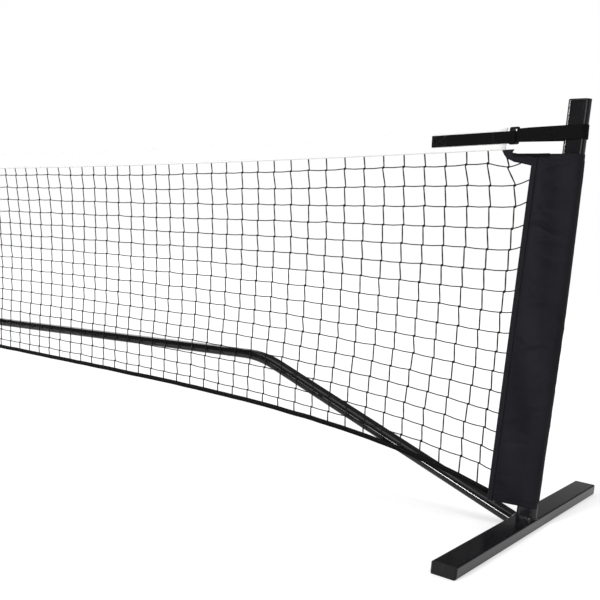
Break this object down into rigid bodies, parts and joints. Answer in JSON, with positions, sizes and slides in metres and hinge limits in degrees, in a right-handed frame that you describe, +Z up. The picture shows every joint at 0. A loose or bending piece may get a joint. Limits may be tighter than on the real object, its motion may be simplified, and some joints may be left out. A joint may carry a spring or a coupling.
{
  "type": "portable pickleball net",
  "caption": "Take-apart steel frame on floor feet that carries a knotted net with a white headband, fabric end sleeves and buckled tension straps.",
  "frame": {"origin": "on the ground, midway between the two uprights and midway across the feet", "axes": "+X runs along the net from the left upright to the right one, +Y runs across the net away from the side the mesh hangs on, +Z is up"},
  "size_m": [6.764, 0.86, 0.986],
  "materials": {
    "powder_coat": "satin powder coat",
    "zinc_steel": "zinc plated",
    "spring_steel": "bright rolled",
    "black_plastic": "fine moulded grain",
    "buckle_plastic": "moulded",
    "white_vinyl_cloth": "coated woven tape",
    "net_cord": "braided cord",
    "black_webbing": "woven webbing",
    "sleeve_cloth": "woven polyester"
  },
  "bodies": {
    "frame": {"foot_right": "powder_coat", "foot_left": "powder_coat", "foot_centre": "powder_coat", "foot_caps_right": "black_plastic", "foot_caps_left": "black_plastic", "foot_caps_centre": "black_plastic", "post_lower_right": "powder_coat", "post_lower_left": "powder_coat", "post_upper_right": "powder_coat", "post_upper_left": "powder_coat", "post_cap_right": "black_plastic", "post_cap_left": "black_plastic", "post_insert_right": "zinc_steel", "post_insert_left": "zinc_steel", "side_spigot_right": "zinc_steel", "side_spigot_left": "zinc_steel", "side_tube_right": "powder_coat", "side_tube_left": "powder_coat", "rail_outer_right": "powder_coat", "rail_outer_left": "powder_coat", "rail_inner_right": "powder_coat", "rail_inner_left": "powder_coat", "outer_insert_right": "zinc_steel", "outer_insert_left": "zinc_steel", "inner_insert_right": "zinc_steel", "inner_insert_left": "zinc_steel", "centre_neck": "powder_coat", "neck_cap": "black_plastic", "weld_beads": "powder_coat", "insert_rivets": "zinc_steel", "button_clips": "spring_steel", "headband": "white_vinyl_cloth", "netting": "net_cord", "bottom_hem": "black_webbing", "sleeve_right": "sleeve_cloth", "sleeve_left": "sleeve_cloth", "gusset_right": "black_webbing", "gusset_left": "black_webbing", "strap_loop_right": "black_webbing", "strap_loop_left": "black_webbing", "strap_tail_right": "black_webbing", "strap_tail_left": "black_webbing", "buckle_right": "buckle_plastic", "buckle_left": "buckle_plastic"},
    "post_button_right": {"post_button_right": "spring_steel"},
    "post_button_left": {"post_button_left": "spring_steel"},
    "side_button_right": {"side_button_right": "spring_steel"},
    "side_button_left": {"side_button_left": "spring_steel"},
    "outer_button_right": {"outer_button_right": "spring_steel"},
    "outer_button_left": {"outer_button_left": "spring_steel"},
    "inner_button_right": {"inner_button_right": "spring_steel"},
    "inner_button_left": {"inner_button_left": "spring_steel"},
    "hub_button_right": {"hub_button_right": "spring_steel"},
    "hub_button_left": {"hub_button_left": "spring_steel"}
  },
  "joints": [
    {"name": "post_button_right_press", "type": "slide", "parent": "frame", "child": "post_button_right", "axis": [0, -1, 0], "range_m": [0, 0.0049], "stiffness_N_per_m": 1200, "springref_m": -0.002},
    {"name": "post_button_left_press", "type": "slide", "parent": "frame", "child": "post_button_left", "axis": [0, -1, 0], "range_m": [0, 0.0049], "stiffness_N_per_m": 1200, "springref_m": -0.002},
    {"name": "side_button_right_press", "type": "slide", "parent": "frame", "child": "side_button_right", "axis": [-0.3305, 0, -0.9438], "range_m": [0, 0.0049], "stiffness_N_per_m": 1200, "springref_m": -0.002},
    {"name": "side_button_left_press", "type": "slide", "parent": "frame", "child": "side_button_left", "axis": [0.3305, 0, -0.9438], "range_m": [0, 0.0049], "stiffness_N_per_m": 1200, "springref_m": -0.002},
    {"name": "outer_button_right_press", "type": "slide", "parent": "frame", "child": "outer_button_right", "axis": [-0.0393, 0, 0.9992], "range_m": [0, 0.0049], "stiffness_N_per_m": 1200, "springref_m": -0.002},
    {"name": "outer_button_left_press", "type": "slide", "parent": "frame", "child": "outer_button_left", "axis": [0.0393, 0, 0.9992], "range_m": [0, 0.0049], "stiffness_N_per_m": 1200, "springref_m": -0.002},
    {"name": "inner_button_right_press", "type": "slide", "parent": "frame", "child": "inner_button_right", "axis": [-0.0393, 0, 0.9992], "range_m": [0, 0.0049], "stiffness_N_per_m": 1200, "springref_m": -0.002},
    {"name": "inner_button_left_press", "type": "slide", "parent": "frame", "child": "inner_button_left", "axis": [0.0393, 0, 0.9992], "range_m": [0, 0.0049], "stiffness_N_per_m": 1200, "springref_m": -0.002},
    {"name": "hub_button_right_press", "type": "slide", "parent": "frame", "child": "hub_button_right", "axis": [-0.0393, 0, 0.9992], "range_m": [0, 0.0049], "stiffness_N_per_m": 1200, "springref_m": -0.002},
    {"name": "hub_button_left_press", "type": "slide", "parent": "frame", "child": "hub_button_left", "axis": [0.0393, 0, 0.9992], "range_m": [0, 0.0049], "stiffness_N_per_m": 1200, "springref_m": -0.002}
  ]
}
